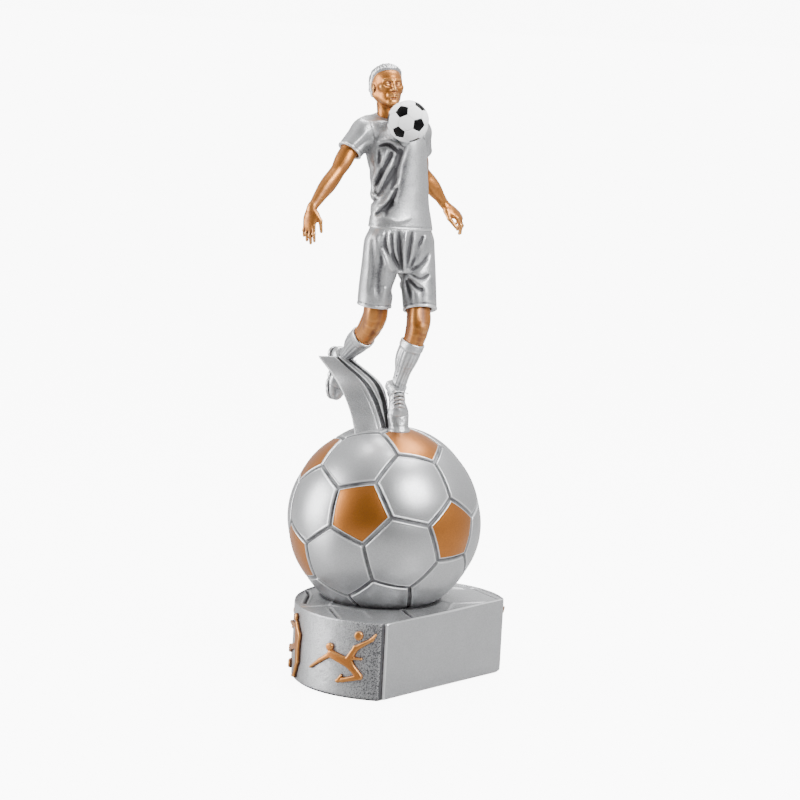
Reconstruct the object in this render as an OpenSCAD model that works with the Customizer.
// Football figure trophy: a player controls a ball on the chest, standing on a
// large football that sits on a D-shaped plinth. Cast resin, doweled and bolted.
// Millimetres, +Z up. The origin is on the plinth's underside, below the large
// ball's axis. -Y is the flat front, where a name plate would go.

/* [Plinth] */
// Length of the plinth, end to end
plinth_l = 107.6; // [80:0.1:140]
// Depth of the full ellipse that the flat front cuts
plinth_oval_d = 95.8; // [80:0.1:130]
// Height of the plinth with its felt
plinth_h = 36.4; // [24:0.1:60]
// Distance from the ball's axis forward to the flat front
front_reach = 41.3; // [36:0.1:50]
// Distance from the ball's axis forward to the ellipse's centre
oval_offset = 13.35; // [0:0.05:20]
// How far the front slab stands proud of the casting
panel_t = 1.4; // [0.6:0.1:3]
// Bevel around the front slab
panel_bevel = 0.7; // [0.2:0.1:1.2]
// Width of the shadow strip at each side of the front slab
strip_w = 2.2; // [1:0.1:5]

/* [Base hardware] */
// Thickness of the felt
felt_t = 1.5; // [1:0.1:3]
// How far the felt stands below the casting
felt_proud = 0.8; // [0.3:0.1:1]
// Margin between the felt and the plinth's edge
felt_margin = 1.6; // [1:0.1:6]
// Thread diameter of the tie bolt
bolt_d = 6; // [4:0.5:8]
// Width across the tie bolt's head
bolt_head_d = 10; // [8:0.5:14]
// Height of the tie bolt's head
bolt_head_h = 4; // [2.5:0.5:6]
// Diameter of the washer under the head
washer_d = 14; // [11:0.5:18]
// Thickness of the washer
washer_t = 1.2; // [0.8:0.1:2]
// Radial clearance around the tie bolt
bolt_gap = 0.3; // [0.1:0.05:0.6]
// Depth of the pocket for the bolt's head
pocket_h = 14; // [10:0.5:18]
// Diameter of the threaded insert in the ball
insert_d = 10; // [9:0.5:14]
// Length of the threaded insert
insert_l = 14; // [8:0.5:20]

/* [Football] */
// Diameter of the large ball
ball_d = 92; // [70:1:115]
// How far the ball sinks into the plinth's deck
ball_sink = 9.4; // [6:0.1:12]
// Depth cut off the ball's underside to make it flat
ball_flat = 2; // [1:0.1:4]
// Clearance between the ball and the sides of its seat
seat_gap = 0.15; // [0.05:0.05:0.5]

/* [Player] */
// Height of the player, from the large ball's top to the crown
player_h = 167; // [130:1:210]
// Diameter of the small ball on the chest
chest_ball_d = 19.4; // [14:0.1:26]
// Thickness of shirt, shorts and sock cloth over the limbs
cloth_t = 0.9; // [0.5:0.1:1.5]
// Diameter of the steel dowels
dowel_d = 1.6; // [1:0.1:2]
// Length of a dowel
dowel_l = 9; // [6:0.5:11]
// Radial clearance around a dowel
dowel_gap = 0.05; // [0.02:0.01:0.2]

/* [Swoosh] */
// Width of the rising blade
blade_w = 17; // [12:0.5:24]
// Thickness of the blade at its foot
blade_t = 6; // [4:0.5:9]
// Depth of the two long grooves
groove_h = 1.6; // [0.5:0.1:2.5]

/* [Reliefs] */
// How far a relief stands out of the curved wall
relief_t = 1.6; // [0.8:0.1:3]
// Height of a relief player when standing
relief_h = 29.4; // [18:0.1:30]

/* [Hidden] */
$fn = 64;
silver = [0.72, 0.73, 0.75];
bronze = [0.80, 0.53, 0.28];
cut = 0.5;                       // how far a cutting tool runs past a face
ball_r = ball_d / 2;
ball_z = plinth_h + ball_r - ball_sink;
crown_z = ball_z + ball_r;       // top of the large ball
half_l = plinth_l / 2;
half_d = plinth_oval_d / 2;
casting_z = felt_proud;
flat_y = -front_reach + panel_t; // where the casting's own flat is
seat_z = plinth_h - ball_sink + ball_flat;
front_w = 2 * half_l * sqrt(1 - pow((front_reach - oval_offset) / half_d, 2));
slab_w = front_w - strip_w / 2;
limb_n = 24;                     // sides of a limb's section
body_n = 32;                     // sides of the shirt's and shorts' section
k = player_h / 167;              // the player's joints are given for 167 mm
chest_r = chest_ball_d / 2;

// The wall's outline: points of an ellipse, moved out by grow and cut at y = cut_y.
function oval_points(grow, n = 144) = [for (i = [0 : n - 1])
  [(half_l + grow) * cos(360 * i / n), -oval_offset + (half_d + grow) * sin(360 * i / n)]];

module d_shape(grow, cut_y) {
  intersection() {
    polygon(oval_points(grow));
    translate([-plinth_l, cut_y]) square([2 * plinth_l, 2 * plinth_oval_d]);
  }
}

// Vectors
function unit(v) = v / norm(v);
function square_to(d, s) = unit(s - (s * d) * d);
// A section: n points of an ellipse about p, square to d, its long radius a along s.
function section(p, d, s, a, b, n) =
  let (u = square_to(d, s), v = cross(d, u))
  [for (i = [0 : n - 1]) p + a * cos(360 * i / n) * u + b * sin(360 * i / n) * v];
// A limb is a list of stations [place, long radius, short radius].
function heading(limb, i) =
  unit(limb[min(i + 1, len(limb) - 1)][0] - limb[max(i - 1, 0)][0]);
function limb_sections(limb, s, first, last, grow, n) = [for (i = [first : last])
  section(limb[i][0], heading(limb, i), s, limb[i][1] + grow, limb[i][2] + grow, n)];
// A skin over sections that follow each other, closed flat at both ends.
module skin(rings) {
  n = len(rings[0]);
  m = len(rings);
  sides = [for (j = [0 : m - 2], i = [0 : n - 1]) let (e = (i + 1) % n)
    each [[j * n + i, (j + 1) * n + e, j * n + e], [j * n + i, (j + 1) * n + i, (j + 1) * n + e]]];
  start = [[for (i = [0 : n - 1]) i]];
  end = [[for (i = [n - 1 : -1 : 0]) (m - 1) * n + i]];
  polyhedron(points = [for (r = rings) each r], faces = concat(start, sides, end));
}
module limb(stations, s, first, last, grow = 0, n = limb_n) {
  skin(limb_sections(stations, s, first, last, grow, n));
}

// The player's joints, from the top of the large ball.
function at(v) = k * v + [0, 0, crown_z];
facing = unit([-0.33, -0.94, 0]);
sideways = unit([0.94, -0.33, 0]);    // towards the player's left
function stations(list) = [for (q = list) [at(q[0]), k * q[1], k * q[2]]];

// Legs: groin, hip, mid thigh, hem of the shorts, knee, top of the sock, calf, shin, ankle
hem_i = 3;
cuff_i = 5;
ankle_i = 8;
left_limb = stations([
  [[5.5, -1.2, 92], 5, 6], [[8.5, -2.5, 85], 8, 9.4], [[5.8, -7, 70], 7.6, 8.2], [[3, -11.5, 55.5], 5.6, 6.2],
  [[0.8, -14, 47], 5.2, 5.6], [[0, -12.5, 40], 4.4, 4.8], [[0, -9.5, 33], 4.3, 4.9],
  [[0.3, -6.5, 26], 3.2, 3.6], [[0.6, -4, 18.5], 2.9, 3.1]]);
right_limb = stations([
  [[-5.5, 1, 92], 5, 6], [[-8.5, 1.5, 85], 8, 9.4], [[-9.2, 2.6, 70], 7.6, 8.2], [[-9.6, 3.6, 56.5],
  5.8, 6.2],
  [[-9.4, 4.8, 48], 5.4, 5.8], [[-7, 12, 40.5], 4.6, 5], [[-4.6, 18, 36.5], 4.4, 4.8],
  [[-1.8, 24.5, 32], 3.3, 3.6], [[0.8, 29.5, 28], 2.9, 3.1]]);
// Boots: heel counter, instep, ball of the foot, toe
left_foot = stations([
  [[1.4, -0.6, 22.5], 2.2, 2.0], [[1.1, -2, 19.5], 3.4, 4.4], [[0, -3.9, 14], 3.3, 3.9],
  [[-1.2, -6.5, 7.5], 3.6, 3.0], [[-2.4, -9, 1.5], 3.7, 2.5], [[-3.2, -10.8, -2.5], 3.0, 1.9]]);
right_foot = stations([
  [[1.3, 34.6, 31.8], 2.0, 1.8], [[1.2, 33.5, 28.5], 3.1, 4.0], [[1.2, 33.6, 22.5], 3.1, 3.6],
  [[1.4, 34.7, 15.5], 3.4, 2.9], [[1.6, 35.4, 9.5], 3.4, 2.4], [[1.7, 35.4, 6.6], 2.4, 1.6]]);
// Trunk: hem of the shirt, waist, ribs, chest, shoulders, collar
trunk = stations([
  [[0.6, -0.2, 93.5], 16, 11.4], [[1, 0.8, 102], 14.6, 10.4], [[1.8, 3.4, 116], 14.4, 10.2],
  [[2.8, 6.8, 128], 15.6, 10.6], [[3.2, 9.2, 136], 15.8, 9.2], [[2.8, 10.8, 141], 11.5, 7.4],
  [[2, 11.8, 144.6], 5.8, 5.4]]);
hips = stations([
  [[0.2, -0.8, 78], 14.5, 10.5], [[0.4, -0.6, 86], 16.4, 11.4], [[0.6, -0.2, 93.5], 15.2, 10.6]]);
// Arms: collarbone, shoulder, hem of the sleeve, elbow, forearm, wrist, palm, finger tips
sleeve_i = 2;
left_reach = stations([
  [[9, 8, 139.5], 4, 3.4], [[16, 5.9, 136.5], 6, 6.4], [[21.6, 8.4, 126.5], 4.6, 4.8],
  [[28.8, 11.4, 116.4], 3.5, 3.7],
  [[34.2, 8.6, 109.5], 3.4, 3.6], [[39.6, 5.4, 101.6], 2.2, 2.6], [[42.6, 2.4, 97.5], 3.4, 2.2],
  [[43.6, -1.2, 93.6], 3.2, 2.0], [[42.2, -3.4, 91.4], 2.2, 1.4]]);
right_reach = stations([
  [[-3.5, 12.6, 139.5], 4, 3.4], [[-10.5, 15, 136.5], 6.2, 6.6], [[-18.4, 17.2, 127], 4.6, 4.9],
  [[-25.6, 17.8, 117.2], 3.6, 3.9],
  [[-33.8, 18.2, 109], 3.6, 3.7], [[-41, 18.6, 100.8], 2.1, 2.5], [[-42.6, 19, 95], 3.5, 2.0],
  [[-43, 19.2, 88], 3.0, 1.7], [[-42.6, 19.2, 84.3], 1.8, 1.1]]);
// Neck and head: collar, neck, jaw, cheek, brow, crown
skull = stations([
  [[2, 11.8, 144.6], 5, 5], [[1.4, 12.4, 147.6], 4.9, 5], [[0.6, 11.2, 151.5], 5.8, 7.4],
  [[0.2, 11.2, 156], 7, 8.6], [[0.2, 11.6, 160], 7.3, 8.9], [[0.2, 12, 164], 6, 7.2],
  [[0.2, 12.1, 166.4], 3.2, 4], [[0.2, 12.1, 167], 1, 1.2]]);

// The small ball rests against the chest, on a short cast support.
chest_point = at([-0.6, -1.4, 136.5]);
chest_ball_c = chest_point + chest_r * unit([-0.55, -0.58, 0.62]);
support_from = at([1.6, 3.5, 130]);
// The dowel that holds the ball comes out of the support square to the chest.
chest_axis = unit(chest_ball_c - support_from);

// Steel dowels: middle and direction
function joint(stations, i) = [stations[i][0], heading(stations, i)];
left_hem = joint(left_limb, hem_i);
right_hem = joint(right_limb, hem_i);
left_cuff = joint(left_limb, cuff_i);
right_cuff = joint(right_limb, cuff_i);
left_ankle = joint(left_limb, ankle_i);
right_ankle = joint(right_limb, ankle_i);
left_sleeve = joint(left_reach, sleeve_i);
right_sleeve = joint(right_reach, sleeve_i);
collar = joint(skull, 0);
waist = joint(trunk, 0);
foot_hold = [at([-2.9, -9.6, 0.5]), unit([-0.10, -0.35, -1])];
module along(j) {
  d = j[1];
  translate(j[0]) rotate([0, acos(d[2]), atan2(d[1], d[0])]) children();
}
module dowel(j) {
  along(j) cylinder(d = dowel_d, h = dowel_l, center = true, $fn = 24);
}
module dowel_hole(j) {
  along(j) cylinder(d = dowel_d + 2 * dowel_gap, h = dowel_l, center = true, $fn = 24);
}

// Plinth and what holds the ball on it
module plinth() {
  color(silver) difference() {
    translate([0, 0, casting_z]) linear_extrude(plinth_h - casting_z) d_shape(0, flat_y);
    // seat for the ball
    intersection() {
      translate([0, 0, ball_z]) sphere(r = ball_r + seat_gap, $fn = 128);
      translate([0, 0, seat_z]) cylinder(r = ball_r, h = ball_r);
    }
    // recess for the felt
    linear_extrude(felt_t) d_shape(-felt_margin, flat_y + felt_margin);
    // pocket and hole for the tie bolt
    cylinder(d = washer_d + 2 * bolt_gap, h = pocket_h);
    cylinder(d = bolt_d + 2 * bolt_gap, h = plinth_h);
  }
}
module front_slab() {
  w = slab_w / 2;
  color(silver) translate([0, 0, casting_z]) linear_extrude(plinth_h - casting_z)
    polygon([[-w, flat_y], [-w, flat_y - panel_t + panel_bevel], [-w + panel_bevel, -front_reach],
      [w - panel_bevel, -front_reach], [w, flat_y - panel_t + panel_bevel], [w, flat_y]]);
}
// The felt is glued on last and covers the bolt's pocket.
module base_felt() {
  color([0.08, 0.08, 0.09]) linear_extrude(felt_t) d_shape(-felt_margin, flat_y + felt_margin);
}
module bolt_washer() {
  color([0.6, 0.6, 0.6]) translate([0, 0, pocket_h - washer_t]) difference() {
    cylinder(d = washer_d, h = washer_t);
    translate([0, 0, -cut]) cylinder(d = bolt_d + bolt_gap, h = washer_t + 2 * cut);
  }
}
module tie_bolt() {
  color([0.6, 0.6, 0.6]) translate([0, 0, pocket_h - washer_t]) {
    cylinder(d = bolt_d, h = seat_z - pocket_h + washer_t + insert_l);
    translate([0, 0, -bolt_head_h]) cylinder(d = bolt_head_d / cos(30), h = bolt_head_h, $fn = 6);
  }
}
module ball_insert() {
  color([0.75, 0.6, 0.3]) translate([0, 0, seat_z]) difference() {
    cylinder(d = insert_d, h = insert_l);
    translate([0, 0, -cut]) cylinder(d = bolt_d, h = insert_l + 2 * cut);
  }
}
module football() {
  color(silver) difference() {
    translate([0, 0, ball_z]) sphere(r = ball_r, $fn = 128);
    translate([0, 0, seat_z - ball_d]) cylinder(r = ball_d, h = ball_d);
    translate([0, 0, seat_z]) cylinder(d = insert_d, h = insert_l);
    dowel_hole(foot_hold);
  }
}

// The blade rises from the ball and carries the raised boot.
swoosh_left = [[-16.2, 6.6, -8], [-14.8, 8.8, -2.5], [-12.9, 12.4, 2.8], [-12, 15.9, 8.1],
  [-11.2, 21, 14.4], [-8.2, 29.9, 20.6], [-7.5, 39.5, 27.5]];
swoosh_right = [[-5, -4.6, -8], [-3.6, -3, -1.2], [-1.6, -0.6, 4.9], [0.2, 2, 11.2],
  [0.7, 5.8, 17], [0.9, 13.8, 21.7], [-0.4, 25.2, 27.9]];
drawn_w = 17; // the two edges are drawn for a blade of this width
function blade_middle(i) = (swoosh_left[i] + swoosh_right[i]) / 2;
function blade_section(i) =
  let (p = at(blade_middle(i)), last = len(swoosh_left) - 1, chord = swoosh_right[i] - swoosh_left[i],
    d = blade_middle(min(i + 1, last)) - blade_middle(max(i - 1, 0)), u = unit(chord),
    v = unit(cross(d, u)), w = norm(chord) / 2 * blade_w / drawn_w,
    t = blade_t * (1 - 0.45 * i / last) / 2, g = groove_h * (1 - 0.5 * i / last))
  [for (q = [[-w, -t * 0.7], [0, -t * 1.2], [w, -t], [w, t * 0.6], [w * 0.86, t], [w * 0.74, t - g],
    [w * 0.62, t * 1.05], [w * 0.46, t * 1.1], [w * 0.32, t * 1.1 - g], [w * 0.18, t * 1.15],
    [-w * 0.5, t * 0.9], [-w, t * 0.3]]) p + q[0] * u - q[1] * v];
module blade() {
  rings = [for (i = [len(swoosh_left) - 1 : -1 : 0]) blade_section(i)];
  skin(rings);
}
module swoosh() {
  color(silver) difference() {
    blade();
    translate([0, 0, ball_z]) sphere(r = ball_r, $fn = 128);
    foot(left_foot);
    foot(right_foot);
    limb(left_limb, sideways, cuff_i, ankle_i, cloth_t);
    limb(right_limb, sideways, cuff_i, ankle_i, cloth_t);
  }
}

// Player, from the boots up
module foot(stations) {
  limb(stations, sideways, 0, len(stations) - 1);
}
module boot(foot_stations, leg, ankle) {
  color(silver) difference() {
    foot(foot_stations);
    limb(leg, sideways, cuff_i, ankle_i, cloth_t);
    translate([0, 0, ball_z]) sphere(r = ball_r, $fn = 128);
    dowel_hole(ankle);
    dowel_hole(foot_hold);
  }
}
module left_boot() { boot(left_foot, left_limb, left_ankle); }
module right_boot() { boot(right_foot, right_limb, right_ankle); }
module sock(leg, cuff, ankle) {
  color(silver) difference() {
    limb(leg, sideways, cuff_i, ankle_i, cloth_t);
    dowel_hole(cuff);
    dowel_hole(ankle);
  }
}
module left_sock() { sock(left_limb, left_cuff, left_ankle); }
module right_sock() { sock(right_limb, right_cuff, right_ankle); }
module bare_leg(leg, hem, cuff) {
  color(bronze) difference() {
    limb(leg, sideways, hem_i, cuff_i);
    dowel_hole(hem);
    dowel_hole(cuff);
  }
}
module left_leg() { bare_leg(left_limb, left_hem, left_cuff); }
module right_leg() { bare_leg(right_limb, right_hem, right_cuff); }
module shorts() {
  color(silver) difference() {
    union() {
      limb(hips, sideways, 0, 2, n = body_n);
      limb(left_limb, sideways, 0, hem_i, cloth_t);
      limb(right_limb, sideways, 0, hem_i, cloth_t);
    }
    shirt_form();
    dowel_hole(left_hem);
    dowel_hole(right_hem);
    dowel_hole(waist);
  }
}
module shirt_form() {
  limb(trunk, sideways, 0, len(trunk) - 1, n = body_n);
  limb(left_reach, facing, 0, sleeve_i, cloth_t);
  limb(right_reach, facing, 0, sleeve_i, cloth_t);
}
module shirt() {
  color(silver) difference() {
    shirt_form();
    dowel_hole(left_sleeve);
    dowel_hole(right_sleeve);
    dowel_hole(waist);
    dowel_hole(collar);
    dowel_hole([support_from, chest_axis]);
  }
}
module arm(reach, sleeve) {
  color(bronze) difference() {
    limb(reach, facing, sleeve_i, len(reach) - 1);
    dowel_hole(sleeve);
  }
}
module left_arm() { arm(left_reach, left_sleeve); }
module right_arm() { arm(right_reach, right_sleeve); }
module head() {
  color(bronze) difference() {
    limb(skull, sideways, 0, len(skull) - 1);
    shirt_form();
    translate(chest_ball_c) sphere(r = chest_r);
    dowel_hole(collar);
  }
}
module chest_ball() {
  color("white") translate(chest_ball_c) sphere(r = chest_r);
}
module ball_support() {
  reach = norm(chest_ball_c - support_from);
  color(silver) difference() {
    along([support_from, chest_axis]) cylinder(r1 = chest_r * 0.5, r2 = chest_r * 0.4, h = reach);
    shirt_form();
    translate(chest_ball_c) sphere(r = chest_r);
    dowel_hole([support_from, chest_axis]);
  }
}
module foot_dowel() { color("gray") dowel(foot_hold); }
module leg_dowels() {
  color("gray") for (j = [left_cuff, right_cuff, left_ankle, right_ankle]) dowel(j);
}
module thigh_dowels() { color("gray") for (j = [left_hem, right_hem]) dowel(j); }
module waist_dowel() { color("gray") dowel(waist); }
module arm_dowels() { color("gray") for (j = [left_sleeve, right_sleeve]) dowel(j); }
module neck_dowel() { color("gray") dowel(collar); }
module chest_dowel() { color("gray") dowel([support_from, chest_axis]); }

// Reliefs: flat players made of tapered strokes, wrapped on the curved wall.
function stroke(p, q, r1, r2) = let (a = atan2(q[1] - p[1], q[0] - p[0]), n = 6)
  concat([for (i = [0 : n]) p + r1 * [cos(a + 90 + 180 * i / n), sin(a + 90 + 180 * i / n)]],
    [for (i = [0 : n]) q + r2 * [cos(a - 90 + 180 * i / n), sin(a - 90 + 180 * i / n)]]);
module strokes(list) {
  for (s = list) polygon(stroke(s[0], s[1], s[2], s[3]));
}
// Poses in the unit height of a standing player; x to the player's front.
kicker = [[[-0.563, 0.352], [-0.36, 0.5], 0.024, 0.033], [[-0.36, 0.5], [-0.16, 0.63], 0.033, 0.045],
  [[-0.15, 0.64], [0.17, 0.54], 0.065, 0.075], [[0.14, 0.56], [0.27, 0.79], 0.06, 0.045],
  [[0.27, 0.79], [0.52, 0.95], 0.045, 0.028], [[0.52, 0.95], [0.575, 1.03], 0.03, 0.02],
  [[0.17, 0.62], [0.37, 0.63], 0.027, 0.018], [[0.18, 0.52], [0.35, 0.35], 0.065, 0.05],
  [[0.35, 0.34], [0.08, 0.26], 0.046, 0.036], [[0.08, 0.26], [-0.02, 0.235], 0.035, 0.028],
  [[0, 0.24], [0.05, 0.33], 0.03, 0.02], [[-0.185, 0.745], [-0.175, 0.75], 0.062, 0.062],
  [[0.311, 0.99], [0.312, 0.995], 0.07, 0.07]];
header = [[[-0.14, 0.06], [-0.05, 0.08], 0.028, 0.035], [[-0.05, 0.09], [0.06, 0.34], 0.035, 0.045],
  [[0.06, 0.34], [0.04, 0.58], 0.05, 0.07], [[0.03, 0.58], [0.05, 0.75], 0.075, 0.09],
  [[0.05, 0.75], [-0.02, 0.92], 0.09, 0.05], [[-0.08, 1.015], [-0.075, 1.02], 0.062, 0.062],
  [[-0.02, 0.88], [-0.3, 0.86], 0.04, 0.03], [[-0.3, 0.86], [-0.55, 0.84], 0.03, 0.02],
  [[0.02, 0.58], [-0.25, 0.5], 0.06, 0.042], [[-0.25, 0.5], [-0.5, 0.38], 0.042, 0.03],
  [[-0.5, 0.38], [-0.56, 0.45], 0.032, 0.022], [[-0.5, 0.16], [-0.495, 0.165], 0.07, 0.07]];
runner = [[[-0.32, 0.28], [-0.16, 0.20], 0.03, 0.035], [[-0.16, 0.2], [-0.02, 0.44], 0.04, 0.06],
  [[-0.02, 0.44], [0.16, 0.32], 0.06, 0.045], [[0.16, 0.32], [0.14, 0.06], 0.04, 0.03],
  [[0.14, 0.04], [0.24, 0.05], 0.03, 0.025], [[-0.02, 0.46], [0.06, 0.76], 0.07, 0.085],
  [[0.06, 0.76], [-0.12, 0.6], 0.035, 0.025], [[0.06, 0.76], [0.24, 0.66], 0.035, 0.022],
  [[0.12, 0.92], [0.125, 0.925], 0.06, 0.06], [[0.38, 0.12], [0.385, 0.125], 0.065, 0.065]];
relief_foot = 0.2;
// One relief, at angle a around the oval, kept between the wall and relief_t outside it.
module relief(pose, a, flip) {
  p = [half_l * cos(a), -oval_offset + half_d * sin(a), relief_foot + casting_z];
  out = atan2(sin(a) / half_d, cos(a) / half_l);
  color(bronze) intersection() {
    difference() {
      linear_extrude(plinth_h) polygon(oval_points(relief_t));
      translate([0, 0, -cut]) linear_extrude(plinth_h + 2 * cut) polygon(oval_points(0));
    }
    translate(p) rotate([90, 0, out + 90]) translate([0, 0, -relief_h / 2])
      linear_extrude(relief_h) scale(relief_h) mirror([flip, 0]) strokes(pose);
  }
}
left_places = [190.5, 154, 117];
module left_kicker() { relief(kicker, left_places[0], 0); }
module left_header() { relief(header, left_places[1], 0); }
module left_runner() { relief(runner, left_places[2], 0); }
module right_kicker() { relief(kicker, 180 - left_places[0], 1); }
module right_header() { relief(header, 180 - left_places[1], 1); }
module right_runner() { relief(runner, 180 - left_places[2], 1); }

plinth();
front_slab();
base_felt();
tie_bolt();
bolt_washer();
ball_insert();
football();
swoosh();
left_boot();
right_boot();
left_sock();
right_sock();
left_leg();
right_leg();
shorts();
shirt();
left_arm();
right_arm();
head();
chest_ball();
ball_support();
foot_dowel();
leg_dowels();
thigh_dowels();
waist_dowel();
arm_dowels();
neck_dowel();
chest_dowel();
left_kicker();
left_header();
left_runner();
right_kicker();
right_header();
right_runner();
